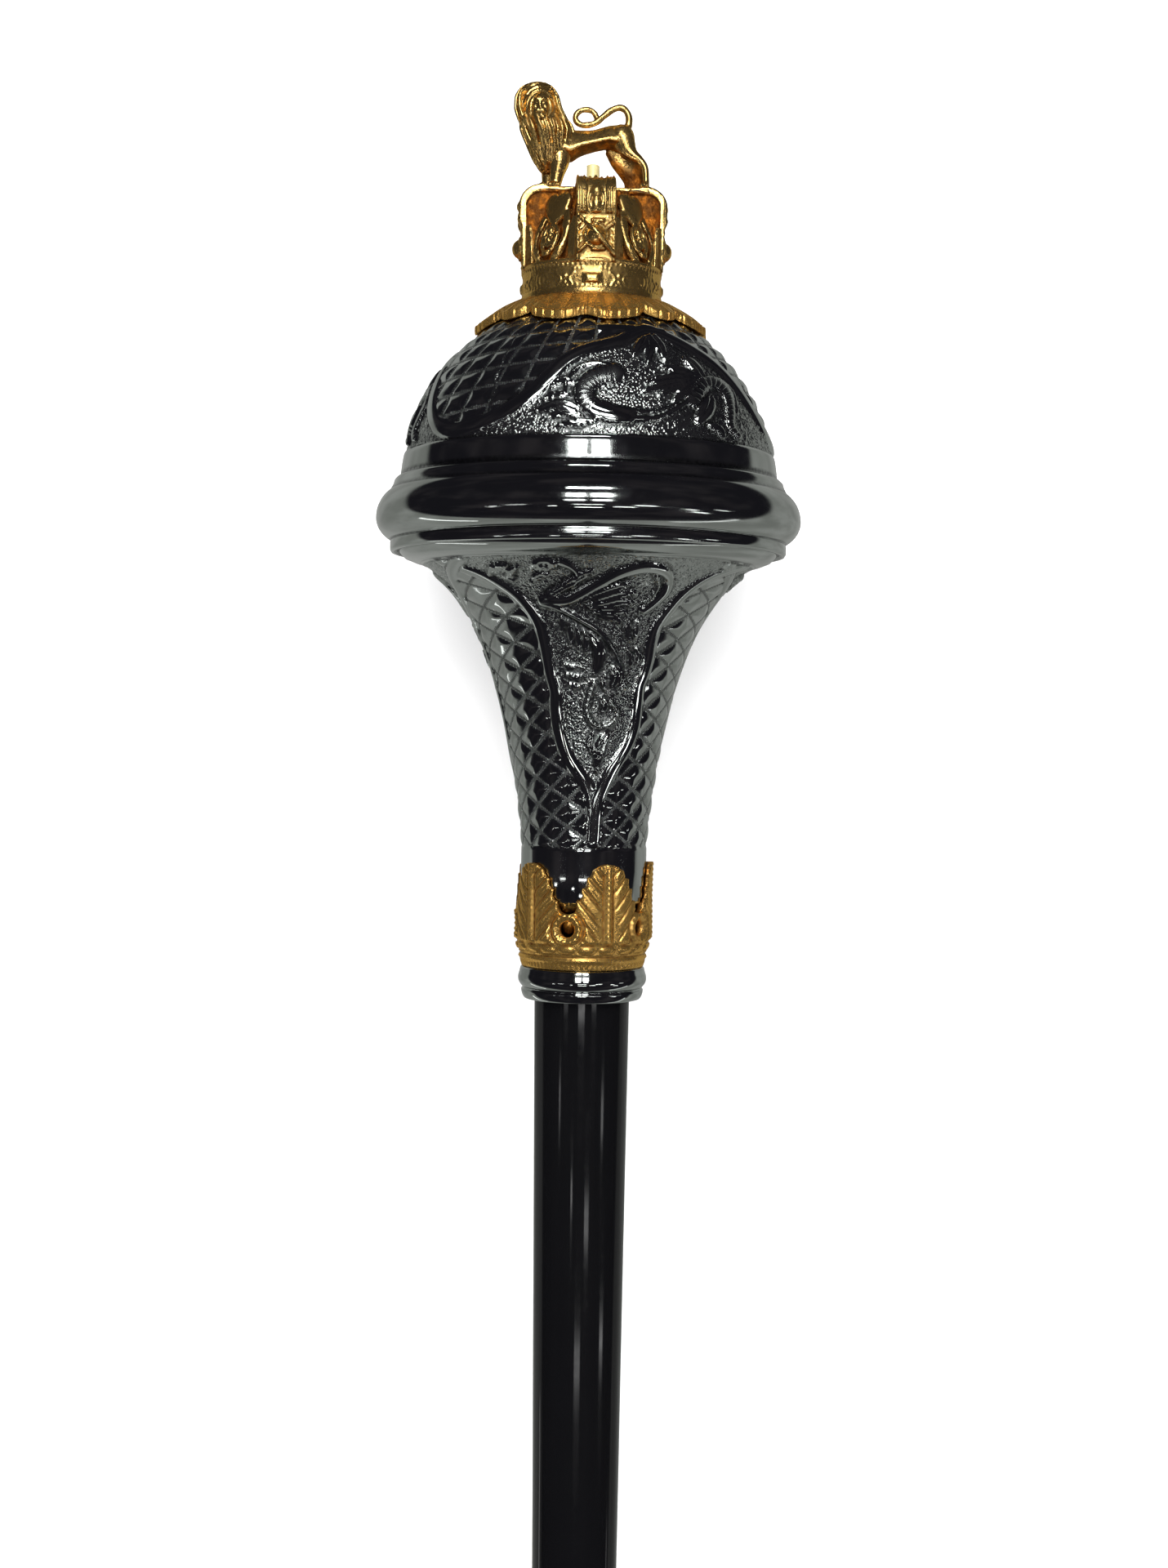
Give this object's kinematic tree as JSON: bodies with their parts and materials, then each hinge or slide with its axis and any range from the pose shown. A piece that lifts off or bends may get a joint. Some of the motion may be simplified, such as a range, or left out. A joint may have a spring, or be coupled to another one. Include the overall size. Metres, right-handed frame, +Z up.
{
  "type": "ceremonial mace",
  "caption": "Drum major's mace: black shaft, engraved chrome head of dome, bead and flare, gilt leaf gallery, and a gilt crown with a standing lion on top.",
  "frame": {"origin": "bottom centre of the bounding box, on the ground the mace lies on", "axes": "+X along the length towards the crown and lion, +Y to the side the lion's head is on, +Z up from the ground through the mace's front"},
  "size_m": [1.4984, 0.128, 0.1273],
  "materials": {
    "chrome": "bright chrome plate, engraved and matted",
    "gilt": "gilt over cast metal, dark in the recesses",
    "brass": "plain turned brass",
    "black_lacquer": "gloss black lacquer"
  },
  "bodies": {
    "root": {"lion": "gilt", "crown": "gilt", "tie_stud": "brass", "rosette": "gilt", "dome_cap": "chrome", "trumpet": "chrome", "leaf_gallery": "gilt", "bead_ring": "chrome", "shaft": "black_lacquer", "ferrule": "chrome"}
  },
  "joints": []
}
